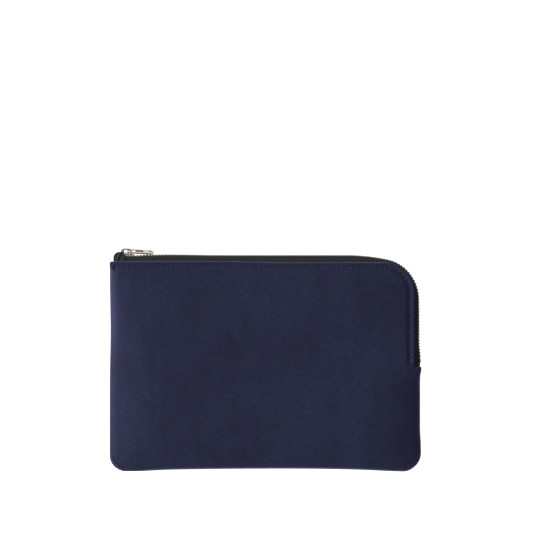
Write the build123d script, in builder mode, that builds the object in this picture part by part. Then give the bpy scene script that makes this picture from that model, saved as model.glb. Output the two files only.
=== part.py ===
"""Zippered pouch of suede with an L-shaped zip, lying on its back.

Millimetres. +X runs along the long side, +Y towards the zipped long edge, +Z up, out of the
front face. The origin is the middle of the bounding box's underside, on the resting face.
Four soft layers make each face: suede, bonded interlining, zip tape at the mouth, and lining.
The front layers are cut along a straight fold line, so that the corner the zip frees can lift.
"""

import os
from math import atan2, cos, degrees, radians, sin

from build123d import *

# --- driving dimensions ----------------------------------------------------------------------
HALF_WIDTH = 105.4  # the sewn sides, from the middle
BOTTOM_Y = -75.79  # bottom seam at its corners, before they are rounded
BAIL_TOP_Y = 75.5  # highest point of the slider
HEM_Y = 66.6  # suede edge along the top run of the zip
HEM_X = 100.9  # suede edge along the side run of the zip
NOTCH_Y = -4.7  # where the side run of the zip ends
HEM_RADIUS = 20.5  # suede corner inside the zip
TOTAL_HEIGHT = 16.0
SEAM_Z = 7.5  # plane of the seam and of the middle of the zip

SUEDE = 1.1
INTERLINING = 0.35
LINING = 0.3
LAYER_GAP = 0.05
SEAM_ALLOWANCE = 6.0
SEWN_EDGE = 2.3  # outer face above the seam plane, along a sewn edge
ZIP_EDGE = 5.6  # the same beside the zip, where tape and hem lie inside
LINING_PEAK = 4.4
LINING_ZIP_EDGE = 2.6
LINING_SEWN_EDGE = 1.0

# --- zip -------------------------------------------------------------------------------------
PITCH = 2.14  # tooth to tooth on one tape
ZIP_Y = 69.85  # middle of the chain on the top run
ZIP_LEFT_X = -102.9
EASE_START_X = 54.6
EASE_RADIUS, EASE_ANGLE = 135.1, 11.9
CORNER_RADIUS = 26.15
FLARE_START_Y, FLARE_RADIUS, FLARE_ANGLE = 13.0, 60.0, 7.0
ZIP_END_Y = -9.0
FIRST_TOOTH_X = -95.2
LAST_TOOTH_Y = 1.6
TOOTH_WIDTH = 0.98
TOOTH_HALF_DEPTH = 0.9
LEG_END = 2.25  # half the chain's width
TAPE = 0.5
TAPE_Z = 3.9  # middle of the tape beside the hem, from the seam plane
BEAD_RADIUS, BEAD_Z = 0.6, 1.45
TAPE_DEPTH = 11.5  # from the chain inwards
TAPE_RISE = 0.3  # the flat follows the crown
TAPE_END_Y = 72.9  # top of the folded tape ends beside the slider
SLIDER_X = -94.2
SLIDER_TRAVEL = 150.0

# --- fold line of the front ------------------------------------------------------------------
FOLD_START = Vector(-103.0, 66.0)
FOLD_END = Vector(101.0, -4.7)
FOLD_INSET = 12.0  # from that chord towards the freed corner
FOLD_GAP = 0.3

# --- thread ----------------------------------------------------------------------------------
STITCH_PITCH, STITCH_LENGTH, THREAD_RADIUS = 3.29, 2.5, 0.22
STITCH_INSET = 3.1

FRONT, BACK = 1, -1
MARGIN = 8.0
BODY_MID_Y = (HEM_Y + BOTTOM_Y) / 2
FOLD_DIRECTION = (FOLD_END - FOLD_START).normalized()
FOLD_NORMAL = Vector(-FOLD_DIRECTION.Y, FOLD_DIRECTION.X)
FOLD_POINT = FOLD_START + FOLD_NORMAL * FOLD_INSET


# --- shape of the two faces ------------------------------------------------------------------
def ease(t):
    """Smooth step from 0 to 1."""
    t = min(1.0, max(0.0, t))
    return t * t * (3 - 2 * t)


def crown(x, y, peak, zip_edge=ZIP_EDGE, sewn_edge=SEWN_EDGE):
    """Height of a face above the seam plane: low at the sewn edges, thicker at the zip."""
    u = x / (HALF_WIDTH + 1.6)
    v = (y - BODY_MID_Y) / (HEM_Y - BODY_MID_Y + 1.6)
    fullness = max(-0.3, (1 - u**6)) * max(-0.3, (1 - v**6))
    by_top = ease((y - 25) / 40)
    by_side = ease((x - 65) / 35) * ease((y + 24) / 16)
    zipped = 1 - (1 - by_top) * (1 - by_side)
    edge = sewn_edge + (zip_edge - sewn_edge) * zipped
    return edge + (peak - edge) * fullness


def crown_face(side, form, inset=0.0):
    """The crowned surface of one side, moved towards the seam plane by inset."""
    columns, rows = 30, 22
    x_low, x_high = -HALF_WIDTH - 1.5, HALF_WIDTH + 1.5
    y_low, y_high = BOTTOM_Y - 1.5, HEM_Y + 1.5
    points = [
        [
            Vector(
                x_low + (x_high - x_low) * i / columns,
                y_low + (y_high - y_low) * j / rows,
                SEAM_Z,
            )
            for j in range(rows + 1)
        ]
        for i in range(columns + 1)
    ]
    raised = [
        [p + Vector(0, 0, side * (crown(p.X, p.Y, *form) - inset)) for p in line]
        for line in points
    ]
    return Face.make_surface_from_array_of_points(raised, tol=0.03)


def outline(sewn_inset=0.0, zip_inset=0.0):
    """Plan of a face. The sewn sides bow in a little, and the mouth has one round corner."""
    left, right = -HALF_WIDTH + sewn_inset, HALF_WIDTH - sewn_inset
    bottom, top = BOTTOM_Y + sewn_inset, HEM_Y - zip_inset
    hem_x = HEM_X - zip_inset
    radius = HEM_RADIUS - zip_inset
    with BuildSketch() as plan:
        with BuildLine():
            hem_top = Line((left, top), (HEM_X - HEM_RADIUS, top))
            corner = JernArc(hem_top @ 1, hem_top % 1, radius, -90)
            Line(corner @ 1, (hem_x, NOTCH_Y))
            Line((hem_x, NOTCH_Y), (right, NOTCH_Y))
            SagittaArc((right, NOTCH_Y), (right, bottom), -0.6)
            SagittaArc((right, bottom), (left, bottom), -1.8)
            SagittaArc((left, bottom), (left, top), -0.8)
        make_face()
        low = plan.vertices().sort_by(Axis.Y)[:2].sort_by(Axis.X)
        fillet(low[0], 8.5 - sewn_inset / 2)
        low = plan.vertices().sort_by(Axis.Y)
        right_low = [p for p in low[:4] if p.X > right - 1]
        fillet(right_low[0], 10.0 - sewn_inset / 2)
    return plan.sketch


def slab(side, plan, outer, thickness, form):
    """One crowned layer with that plan, its outer face moved in from the crown by outer."""
    with BuildPart() as layer:
        if side == FRONT:
            extrude(crown_face(FRONT, form, outer), thickness, dir=(0, 0, -1))
        else:
            below = crown_face(BACK, form, outer)
            above = crown_face(BACK, form, outer + thickness)
            extrude(below, TOTAL_HEIGHT, dir=(0, 0, 1))
            with BuildSketch(Plane.XY.offset(outer)):
                Rectangle(3 * HALF_WIDTH, 3 * HALF_WIDTH)
            extrude(amount=2 * TOTAL_HEIGHT, mode=Mode.INTERSECT)
            with BuildPart(mode=Mode.PRIVATE) as hollow:
                extrude(above, 2 * TOTAL_HEIGHT, dir=(0, 0, 1))
                with BuildSketch(Plane.XY.offset(outer + thickness)):
                    Rectangle(3 * HALF_WIDTH, 3 * HALF_WIDTH)
                extrude(amount=3 * TOTAL_HEIGHT, mode=Mode.INTERSECT)
            add(hollow.part, mode=Mode.SUBTRACT)
        with BuildSketch():
            add(plan)
        extrude(amount=2 * TOTAL_HEIGHT, mode=Mode.INTERSECT)
    return layer.part


def band(plan, inner_plan, zones, low, high):
    """The ring between two plans inside some rectangles (x0, y0, x1, y1), from low to high."""
    with BuildPart() as ring:
        with BuildSketch(Plane.XY.offset(low)):
            add(plan)
            add(inner_plan, mode=Mode.SUBTRACT)
            with BuildSketch(mode=Mode.PRIVATE) as kept:
                for x0, y0, x1, y1 in zones:
                    with Locations(((x0 + x1) / 2, (y0 + y1) / 2)):
                        Rectangle(x1 - x0, y1 - y0)
            add(kept.sketch, mode=Mode.INTERSECT)
        extrude(amount=high - low)
    return ring.part


def turned_edge(side, plan, wall, zones, form, sink=0.5):
    """Upright wall that closes a layer's edge, from the seam plane to inside the layer."""
    inner = offset(plan, -wall, kind=Kind.INTERSECTION)
    low, high = (SEAM_Z, 2 * TOTAL_HEIGHT) if side == FRONT else (0, SEAM_Z)
    reach = crown_face(side, form, sink)
    with BuildPart() as rim:
        add(band(plan, inner, zones, low, high))
        extrude(reach, 2 * TOTAL_HEIGHT, dir=(0, 0, -side), mode=Mode.INTERSECT)
        if side == BACK:
            with BuildSketch():
                Rectangle(3 * HALF_WIDTH, 3 * HALF_WIDTH)
            extrude(amount=TOTAL_HEIGHT, mode=Mode.INTERSECT)
    return rim.part


FAR = 200.0
WALL_ZONES = [
    (-FAR, -FAR, -103.0, FAR),
    (-FAR, -FAR, FAR, -60.0),
    (95.0, -FAR, FAR, -12.0),
]
ALLOWANCE_ZONES = [
    (-FAR, -FAR, -90.0, 56.0),
    (-FAR, -FAR, FAR, -60.0),
    (90.0, -FAR, FAR, -12.0),
]
# peak, zip edge and sewn edge of each crowned surface; the back is pressed flat below
FORM = {
    FRONT: (TOTAL_HEIGHT - SEAM_Z, ZIP_EDGE, SEWN_EDGE),
    BACK: (SEAM_Z + 2.0, ZIP_EDGE, SEWN_EDGE),
}
LINING_FORM = (LINING_PEAK, LINING_ZIP_EDGE, LINING_SEWN_EDGE)


def suede_panel(side):
    """Suede face with its sewn edges turned in and their allowance lying in the seam."""
    plan = outline()
    low = SEAM_Z if side == FRONT else SEAM_Z - SUEDE
    with BuildPart() as panel:
        add(slab(side, plan, 0.0, SUEDE, FORM[side]))
        add(turned_edge(side, plan, SUEDE, WALL_ZONES, FORM[side]))
        inner = offset(plan, -SEAM_ALLOWANCE, kind=Kind.INTERSECTION)
        add(band(plan, inner, ALLOWANCE_ZONES, low, low + SUEDE))
    return panel.part


def interlining(side):
    """Bonded stiffener behind the suede."""
    with BuildPart() as sheet:
        add(slab(side, outline(4.0, 12.0), SUEDE + LAYER_GAP, INTERLINING, FORM[side]))
    return sheet.part


def lining(side):
    """Loose inner bag half, closed down to the seam plane along its sewn sides."""
    plan = outline(7.2, 1.6)
    with BuildPart() as bag:
        add(slab(side, plan, 0.0, LINING, LINING_FORM))
        add(turned_edge(side, plan, LINING, ALLOWANCE_ZONES, LINING_FORM, sink=0.1))
    return bag.part


# --- zip -------------------------------------------------------------------------------------
def zip_path():
    """Middle of the chain: along the top, round the corner, down the side and into the seam."""
    with BuildLine() as route:
        top = Line((ZIP_LEFT_X, ZIP_Y), (EASE_START_X, ZIP_Y))
        easing = JernArc(top @ 1, top % 1, EASE_RADIUS, -EASE_ANGLE)
        corner = JernArc(easing @ 1, easing % 1, CORNER_RADIUS, EASE_ANGLE - 90)
        side = Line(corner @ 1, ((corner @ 1).X, FLARE_START_Y))
        out = JernArc(side @ 1, (0, -1), FLARE_RADIUS, FLARE_ANGLE)
        back = JernArc(out @ 1, out % 1, FLARE_RADIUS, -FLARE_ANGLE)
        Line(back @ 1, ((back @ 1).X, ZIP_END_Y))
    return Wire(route.edges())


ROUTE = zip_path()


def on_route(length, height=SEAM_Z):
    """Plane at that length of the zip: x along the chain, y outwards, z up."""
    share = length / ROUTE.length
    at, along = ROUTE.position_at(share), ROUTE.tangent_at(share)
    return Plane(origin=(at.X, at.Y, height), x_dir=along, z_dir=(0, 0, 1))


def beyond_fold(point):
    """True where a point of the front belongs to the corner that lifts."""
    return (Vector(point.X, point.Y) - FOLD_POINT).dot(FOLD_NORMAL) > 0


def cut_at_fold(part, lifting):
    """The part of a front layer on one side of the fold line, half a gap away from it."""
    origin = FOLD_POINT + FOLD_NORMAL * (FOLD_GAP / 2 if lifting else -FOLD_GAP / 2)
    with BuildPart() as piece:
        add(part)
        split(
            bisect_by=Plane(origin=origin, x_dir=FOLD_DIRECTION, z_dir=FOLD_NORMAL),
            keep=Keep.TOP if lifting else Keep.BOTTOM,
        )
    return piece.part


def tape(side):
    """Woven tape: the corded edge in the teeth, a bend at the chain and the flat that is sewn."""
    bend = 0.75
    start = Plane(
        origin=(ZIP_LEFT_X, ZIP_Y, SEAM_Z), x_dir=(0, 1, 0), z_dir=(1, 0, 0)
    )
    with BuildPart() as woven:
        with BuildSketch(start):
            with BuildLine(mode=Mode.PRIVATE) as middle:
                flat = Line((0, side * BEAD_Z), (0, side * (TAPE_Z - bend)))
                turn = RadiusArc(flat @ 1, (-bend, side * TAPE_Z), side * -bend)
                Line(turn @ 1, (-TAPE_DEPTH, side * (TAPE_Z + TAPE_RISE)))
            trace(middle.line, TAPE)
            with Locations((0, side * BEAD_Z)):
                Circle(BEAD_RADIUS)
        sweep(path=ROUTE, transition=Transition.ROUND)
        # the tape end that stands up beside the slider, with a round corner
        with BuildSketch(Plane.XY.offset(SEAM_Z + side * TAPE_Z - TAPE / 2)) as tab:
            with Locations((ZIP_LEFT_X, HEM_Y + 0.6)):
                Rectangle(7.0, TAPE_END_Y - HEM_Y - 0.6, align=(Align.MIN, Align.MIN))
            fillet(tab.vertices().group_by(Axis.Y)[-1], 3.2)
        extrude(amount=TAPE)
    return woven.part


def tooth(side):
    """One element: two legs clamped on the corded edge and a head with a nub and a pocket."""
    slot = TAPE / 2 + 0.06
    with BuildPart() as element:
        with BuildSketch(Plane.YZ):
            with BuildLine():
                Polyline(
                    (-0.62, -0.72),
                    (0.62, -0.72),
                    (0.78, -0.45),
                    (0.78, 0.35),
                    (TOOTH_HALF_DEPTH, 0.75),
                    (TOOTH_HALF_DEPTH, LEG_END),
                    (-TOOTH_HALF_DEPTH, LEG_END),
                    (-TOOTH_HALF_DEPTH, 0.75),
                    (-0.78, 0.35),
                    (-0.78, -0.45),
                    close=True,
                )
            make_face()
            with Locations((0, BEAD_Z)):
                Circle(BEAD_RADIUS + 0.06, mode=Mode.SUBTRACT)
                Rectangle(
                    2 * slot, 3, align=(Align.CENTER, Align.MIN), mode=Mode.SUBTRACT
                )
        extrude(amount=TOOTH_WIDTH / 2, both=True)
        with Locations((TOOTH_WIDTH / 2, 0, -0.15)):  # nub
            Cylinder(0.3, 0.4, rotation=(0, 90, 0))
        with Locations((-TOOTH_WIDTH / 2, 0, 0.15)):  # pocket
            Cylinder(0.38, 0.56, rotation=(0, 90, 0), mode=Mode.SUBTRACT)
    return element.part if side == FRONT else mirror(element.part, about=Plane.XY)


def tooth_lengths(side):
    """Places of one row's teeth along the zip; the back row stands half a pitch further."""
    first = FIRST_TOOTH_X - ZIP_LEFT_X + (PITCH / 2 if side == BACK else 0)
    last = ROUTE.length - (LAST_TOOTH_Y - ZIP_END_Y)
    return [first + n * PITCH for n in range(int((last - first) / PITCH) + 1)]


def tooth_row(side, keep=lambda point: True):
    """A row of separate teeth, those whose place passes keep."""
    element = tooth(side)
    planes = [on_route(length) for length in tooth_lengths(side)]
    with BuildPart() as row:
        with Locations(*[p.location for p in planes if keep(p.origin)]):
            add(element)
    return row.part


def tape_passage(side, length):
    """Room for the corded edge and the tape through a part clamped on them."""
    with BuildPart() as passage:
        with BuildSketch(Plane.YZ):
            with Locations((0, side * BEAD_Z)):
                Circle(BEAD_RADIUS + 0.06)
            with Locations((0, side * (BEAD_Z + 1.5))):
                Rectangle(TAPE + 0.12, 3)
        extrude(amount=length / 2, both=True)
    return passage.part


def top_stop(side):
    """Crimped stop that the slider meets when the pouch is shut."""
    with BuildPart() as stop:
        with Locations((0, 0, side * 1.5)):
            Box(1.5, 1.9, 2.0)
        fillet(stop.edges().filter_by(Axis.X), 0.35)
        add(tape_passage(side, 3), mode=Mode.SUBTRACT)
    return stop.part.moved(Location((SLIDER_X - SLIDER_HALF_LENGTH - 1.1, ZIP_Y, SEAM_Z)))


def bottom_stop():
    """Staple that closes the two tapes at the lower end of the side run."""
    place = on_route(ROUTE.length - (LAST_TOOTH_Y - 2.5 - ZIP_END_Y))
    with BuildPart() as staple:
        Box(2.2, 2.2, 4.7)
        fillet(staple.edges().filter_by(Axis.X), 0.5)
        for side in (FRONT, BACK):
            add(tape_passage(side, 5), mode=Mode.SUBTRACT)
    return staple.part.moved(place.location)


# --- slider ----------------------------------------------------------------------------------
WING_IN, WING_OUT = 1.1, 1.95
SLIDER_HALF_LENGTH, SLIDER_HALF_WIDTH, CHANNEL_HALF = 4.3, 3.4, 2.55
PIVOT_X, PIVOT_Y = SLIDER_X + 1.0, ZIP_Y + 3.75
TAB_LENGTH, TAB_THICKNESS = 17.6, 0.9
TAB_TILT, TAB_SLOPE = 27.0, -3.0


def slider_body():
    """Two wings with side flanges, joined by the wedge that parts the rows."""
    flat = Plane(origin=(SLIDER_X, ZIP_Y, SEAM_Z), x_dir=(1, 0, 0), z_dir=(0, 1, 0))
    with BuildPart() as body:
        with BuildSketch(flat.offset(-WING_OUT)):
            with BuildLine():
                Polyline(
                    (-SLIDER_HALF_LENGTH, -SLIDER_HALF_WIDTH + 0.9),
                    (-SLIDER_HALF_LENGTH + 1.6, -SLIDER_HALF_WIDTH),
                    (SLIDER_HALF_LENGTH, -SLIDER_HALF_WIDTH + 0.2),
                    (SLIDER_HALF_LENGTH, SLIDER_HALF_WIDTH - 0.2),
                    (-SLIDER_HALF_LENGTH + 1.6, SLIDER_HALF_WIDTH),
                    (-SLIDER_HALF_LENGTH, SLIDER_HALF_WIDTH - 0.9),
                    close=True,
                )
            make_face()
        extrude(amount=2 * WING_OUT)
        fillet(body.edges().filter_by(Axis.Y), 0.6)
        with BuildSketch(flat.offset(-WING_IN)):  # channel for the chain
            Rectangle(3 * SLIDER_HALF_LENGTH, 2 * CHANNEL_HALF)
        extrude(amount=2 * WING_IN, mode=Mode.SUBTRACT)
        with BuildSketch(flat.offset(-0.45)):  # slots for the tapes
            Rectangle(3 * SLIDER_HALF_LENGTH, 3 * SLIDER_HALF_WIDTH)
        extrude(amount=0.9, mode=Mode.SUBTRACT)
        with BuildSketch(flat.offset(-WING_IN - 0.1)):  # wedge
            with BuildLine():
                Polyline((-4.1, -0.6), (-3.0, -0.75), (-1.7, 0), (-3.0, 0.75), (-4.1, 0.6), close=True)
            make_face()
        extrude(amount=2 * WING_IN + 0.2)
    return body.part


def slider_bail():
    """Arch on the upper wing that holds the pull tab."""
    side_view = Plane(origin=(SLIDER_X, ZIP_Y, SEAM_Z), x_dir=(1, 0, 0), z_dir=(0, 0, 1))
    top = BAIL_TOP_Y - ZIP_Y
    with BuildPart() as arch:
        with BuildSketch(side_view.offset(-0.8)) as view:
            with BuildLine():
                Polyline(
                    (-3.6, WING_OUT),
                    (-3.3, 2.6),
                    (-2.3, 3.0),
                    (-1.9, top - 0.7),
                    (-1.3, top),
                    (2.1, top),
                    (2.8, top - 0.8),
                    (2.95, WING_OUT),
                    close=True,
                )
            make_face()
            with Locations((0.55, WING_OUT)):
                Rectangle(3.1, 2.8, align=(Align.CENTER, Align.MIN), mode=Mode.SUBTRACT)
            fillet(view.vertices().group_by(Axis.Y)[-1], 0.5)
        extrude(amount=1.6)
    return arch.part


def pull_tab():
    """Flat tab hung in the bail by its end bar, with a slot and an end hole."""
    half = 2.6
    length = TAB_LENGTH
    plane = Plane(origin=(PIVOT_X, PIVOT_Y, SEAM_Z), x_dir=(1, 0, 0), z_dir=(0, 1, 0))
    with BuildPart() as tab:
        with BuildSketch(Plane.XY.offset(-TAB_THICKNESS / 2)) as view:
            with BuildLine():
                ring = Polyline((-0.45, 0), (-0.45, -1.9), (0.1, -2.35), (4.2, -2.35))
                Polyline(ring @ 1, (6.5, -half), (length - half, -half))
                ThreePointArc((length - half, -half), (length, 0), (length - half, half))
                Polyline((length - half, half), (6.5, half), (4.2, 2.35), (0.1, 2.35), (-0.45, 1.9), (-0.45, 0))
            make_face()
            with Locations((2.0, 0)):
                RectangleRounded(3.1, 2.7, 0.4, mode=Mode.SUBTRACT)
            with Locations((9.0, 0)):
                SlotOverall(6.6, 1.9, mode=Mode.SUBTRACT)
            with Locations((length - half, 0)):
                Circle(0.95, mode=Mode.SUBTRACT)
        extrude(amount=TAB_THICKNESS)
        chamfer(tab.edges().filter_by(GeomType.CIRCLE).group_by(Axis.X)[-1], 0.15)
    turned = plane.location * Rot(Z=0) * Rot(X=TAB_TILT) * tab.part
    return turned.rotate(Axis((PIVOT_X, PIVOT_Y, SEAM_Z), (0, 0, 1)), TAB_SLOPE)


# --- thread ----------------------------------------------------------------------------------
def stitch_line(inset, start_x, end_y):
    """A line inside the hem, along the top, round the corner and down the side."""
    with BuildLine() as line:
        top = Line((start_x, HEM_Y - inset), (HEM_X - HEM_RADIUS, HEM_Y - inset))
        corner = JernArc(top @ 1, top % 1, HEM_RADIUS - inset, -90)
        Line(corner @ 1, (HEM_X - inset, end_y))
    return Wire(line.edges())


def topstitch(side, keep=lambda point: True):
    """Stitches through hem, tape and lining, each a separate length of thread."""
    line = stitch_line(STITCH_INSET, -101.5, -2.0)
    count = int(line.length / STITCH_PITCH)
    places = []
    for n in range(count):
        share = (n + 0.5) * STITCH_PITCH / line.length
        at, along = line.position_at(share), line.tangent_at(share)
        if not keep(at):
            continue
        height = crown(at.X, at.Y, *FORM[side])
        z = SEAM_Z + side * height
        if side == BACK:
            z = max(z, 0.0)
        turn = degrees(atan2(along.Y, along.X))
        places.append(Location((at.X, at.Y, z), (0, 0, turn)))
    with BuildPart() as thread:
        with Locations(*places):
            Cylinder(THREAD_RADIUS, STITCH_LENGTH, rotation=(0, 90, 0))
    return thread.part


def seam_thread():
    """Lockstitch knots through both seam allowances, inside the sewn edges."""
    inset = SEAM_ALLOWANCE / 2
    with BuildLine() as line:
        left = Line((-HALF_WIDTH + inset + 0.8, 50), (-HALF_WIDTH + inset + 0.8, BOTTOM_Y + 12))
        turn = JernArc(left @ 1, left % 1, 7.0, 90)
        base = Line(turn @ 1, (HALF_WIDTH - inset - 8.0, (turn @ 1).Y))
        rise = JernArc(base @ 1, base % 1, 7.0, 90)
        Line(rise @ 1, ((rise @ 1).X, -16))
    wire = Wire(line.edges())
    count = int(wire.length / STITCH_PITCH)
    spots = [wire.position_at((n + 0.5) / count) for n in range(count)]
    with BuildPart() as thread:
        with Locations(*[(p.X, p.Y, SEAM_Z) for p in spots]):
            Cylinder(THREAD_RADIUS, 2 * SUEDE + 0.5)
    return thread.part


# --- all pieces ------------------------------------------------------------------------------
def fixed(point):
    return not beyond_fold(point)


def pieces():
    """Every node's name and solid."""
    front_suede, front_inter, front_lining = suede_panel(FRONT), interlining(FRONT), lining(FRONT)
    front_tape = tape(FRONT)
    yield "front_panel_lower", cut_at_fold(front_suede, False)
    yield "front_panel_flap", cut_at_fold(front_suede, True)
    yield "front_interlining_lower", cut_at_fold(front_inter, False)
    yield "front_interlining_flap", cut_at_fold(front_inter, True)
    yield "front_lining_lower", cut_at_fold(front_lining, False)
    yield "front_lining_flap", cut_at_fold(front_lining, True)
    yield "front_tape_ends", cut_at_fold(front_tape, False)
    yield "front_tape_flap", cut_at_fold(front_tape, True)
    yield "front_teeth_ends", tooth_row(FRONT, fixed)
    yield "front_teeth_flap", tooth_row(FRONT, beyond_fold)
    yield "front_topstitch_ends", topstitch(FRONT, fixed)
    yield "front_topstitch_flap", topstitch(FRONT, beyond_fold)
    yield "back_panel", suede_panel(BACK)
    yield "back_interlining", interlining(BACK)
    yield "back_lining", lining(BACK)
    yield "back_tape", tape(BACK)
    yield "back_teeth", tooth_row(BACK)
    yield "back_topstitch", topstitch(BACK)
    yield "seam_thread", seam_thread()
    yield "top_stop_front", top_stop(FRONT)
    yield "top_stop_back", top_stop(BACK)
    yield "bottom_stop", bottom_stop()
    yield "slider_body", slider_body()
    yield "slider_bail", slider_bail()
    yield "pull_tab", pull_tab()


os.makedirs("parts", exist_ok=True)
for name, solid in pieces():
    solid.label = name
    export_step(solid, f"parts/{name}.step")
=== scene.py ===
"""Visual model of the zippered suede pouch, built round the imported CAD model."""

import math

import bmesh
import bpy
import numpy as np
from mathutils import Matrix, Vector, geometry, noise


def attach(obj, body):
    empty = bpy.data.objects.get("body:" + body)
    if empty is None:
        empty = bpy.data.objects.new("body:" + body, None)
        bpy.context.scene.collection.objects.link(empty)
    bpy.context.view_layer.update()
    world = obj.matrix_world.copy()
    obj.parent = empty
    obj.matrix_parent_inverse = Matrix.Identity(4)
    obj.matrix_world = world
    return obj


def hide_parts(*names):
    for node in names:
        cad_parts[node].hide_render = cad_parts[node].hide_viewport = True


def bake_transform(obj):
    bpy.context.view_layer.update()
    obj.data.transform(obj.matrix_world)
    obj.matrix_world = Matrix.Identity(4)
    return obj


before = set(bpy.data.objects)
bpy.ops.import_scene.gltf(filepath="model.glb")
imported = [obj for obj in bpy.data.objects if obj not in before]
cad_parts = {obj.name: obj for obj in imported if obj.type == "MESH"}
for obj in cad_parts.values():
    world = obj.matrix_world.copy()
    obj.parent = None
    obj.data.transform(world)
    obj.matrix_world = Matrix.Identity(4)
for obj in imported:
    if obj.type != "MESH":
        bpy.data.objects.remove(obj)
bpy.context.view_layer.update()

MM = 0.001
FRONT, BACK = 1, -1

# --- sizes in millimetres, in the CAD model's frame -------------------------------------------
SEAM_Z = 7.5  # plane of the seam and of the middle of the zip
HALF_WIDTH = 105.4
BOTTOM_Y, HEM_Y, HEM_X, NOTCH_Y = -75.79, 66.6, 100.45, -4.7
HEM_SAG = 0.68  # the mouth's edge hangs a little lower towards the round corner
HEM_RADIUS = 20.5
CORNER_X, CORNER_Y = HEM_X - HEM_RADIUS, HEM_Y - HEM_SAG - HEM_RADIUS
BODY_MID_Y = (HEM_Y + BOTTOM_Y) / 2
SEWN_EDGE, ZIP_EDGE = 2.3, 5.6
FRONT_PEAK, BACK_PEAK = 8.5, 9.5  # height of the middle of each face above the seam plane
LINING_FORM = (4.4, 2.6, 1.0)  # the same for the lining: middle, beside the zip, at the seam
SUEDE = 1.1
ALLOWANCE = 6.0  # suede turned in along every edge
LINING_SEWN_INSET, LINING_ZIP_INSET = 7.2, 2.2
EDGE_BAND = 10.0  # width of the band of rings along the outline
SUEDE_GRID, LINING_GRID = 1.7, 3.4  # spacing of the points inside that band
STITCH_INSET, STITCH_PITCH, STITCH_LENGTH = 3.45, 3.29, 2.45
STITCH_START_X, STITCH_END_Y = -101.5, -2.0
STITCH_WAVE_RADIUS = 17.4  # of the pressed line round the corner

ZIP_Y, ZIP_LEFT_X = 69.85, -102.9
EASE_START_X, EASE_RADIUS, EASE_ANGLE = 54.6, 135.1, 11.9
CHAIN_RADIUS = 26.15
FLARE_START_Y, FLARE_RADIUS, FLARE_ANGLE = 13.0, 60.0, 7.0
ZIP_END_Y = -9.0
FIRST_TOOTH_X, LAST_TOOTH_Y, PITCH = -95.2, 1.6, 2.14
BEAD_Z, BEAD_RADIUS = 1.45, 0.46  # corded edge of a tape
FRONT_TOOTH_HEIGHT, BACK_TOOTH_HEIGHT = 1.08, 0.55

SLIDER_X, BAIL_TOP_Y = -94.2, 75.5
BODY_Y = ZIP_Y + 0.24  # the body is centred on the proud chain it runs along
PIVOT = Vector((SLIDER_X + 1.0, ZIP_Y + 3.75, SEAM_Z)) * MM
TAB_TILT, TAB_SLOPE = 31.0, -3.0

# --- view and light ---------------------------------------------------------------------------
VIEW_CENTRE, VIEW_WIDTH = (0.7, 63.1), 361.4  # at the height of the seam, in millimetres
LENS, SENSOR_WIDTH = 150, 36
WORLD_STRENGTH = 0.30
KEY_PLACE, KEY_SIZE, KEY_POWER = (-3.3, 0.45, 0.76), (1.2, 2.8), 235  # metres and watts
TABLE_HALF = 3000


def ease(t):
    """Smooth step from 0 to 1."""
    t = np.clip(t, 0.0, 1.0)
    return t * t * (3 - 2 * t)


def bump(s, centre, width):
    """Bell of height 1 round a centre."""
    return np.exp(-(((s - centre) / width) ** 2))


# --- meshes -----------------------------------------------------------------------------------
def add_object(name, vertices, faces, smooth=True):
    """A mesh object from millimetres."""
    mesh = bpy.data.meshes.new(name)
    mesh.from_pydata([tuple(v) for v in np.asarray(vertices) * MM], [], faces)
    mesh.validate()
    mesh.update()
    if smooth:
        mesh.shade_smooth()
    piece = bpy.data.objects.new(name, mesh)
    bpy.context.scene.collection.objects.link(piece)
    return piece


def point_value(piece, name, values):
    attribute = piece.data.attributes.new(name, "FLOAT", "POINT")
    attribute.data.foreach_set("value", np.asarray(values, np.float32))


def fix_normals(piece):
    bm = bmesh.new()
    bm.from_mesh(piece.data)
    bmesh.ops.recalc_face_normals(bm, faces=bm.faces)
    bm.to_mesh(piece.data)
    bm.free()


def band(faces, a, b, count):
    """Quads between two closed rings of vertices, one starting at a and the other at b."""
    for j in range(count):
        j2 = (j + 1) % count
        faces.append((a + j, a + j2, b + j2, b + j))


def cap(faces, start, count):
    """One face across a closed ring."""
    faces.append(tuple(range(start, start + count)))


# --- outline of a face ------------------------------------------------------------------------
def line(a, b, count):
    """Points from a towards b, without b."""
    t = np.linspace(0, 1, count, endpoint=False)[:, None]
    return np.array(a) + (np.array(b) - np.array(a)) * t


def corner(cx, cy, radius, start, end, count, power=2.0):
    """Points of a round corner; a power under 2 cuts it a little straighter."""
    angle = np.radians(np.linspace(start, end, count, endpoint=False))
    c, s = np.cos(angle), np.sin(angle)
    size = (np.abs(c) ** power + np.abs(s) ** power) ** (-1 / power)
    return np.stack([cx + radius * size * c, cy + radius * size * s], 1)


def hem_sag(x):
    """How far the mouth's edge hangs below its straight line."""
    return HEM_SAG * ease((x + 30) / 45)


def bowed(points):
    """The soft sides wander a little between their corners."""
    x, y = points[:, 0].copy(), points[:, 1].copy()
    left = ease((-x - 60) / 40) * ease((HEM_Y - y) / 8)
    points[:, 0] += left * (0.56 * np.exp(-(((y - 20) / 24) ** 2)) - 0.2)
    low = ease((-y - 40) / 30)
    points[:, 1] += 1.8 * low * (1 - np.clip(x / HALF_WIDTH, -1, 1) ** 2)
    points[:, 1] -= 0.5 * low * (bump(x, -86, 12) + bump(x, 88, 17)) - 0.12 * low * bump(x, 30, 30)
    right = ease((x - 60) / 40) * ease((-6 - y) / 5)
    points[:, 0] -= 0.6 * right * ease((y + 60) / 14)
    top = ease((y - CORNER_Y - 4) / 10) * (x < CORNER_X)
    points[:, 1] -= top * hem_sag(x)
    return points


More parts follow.
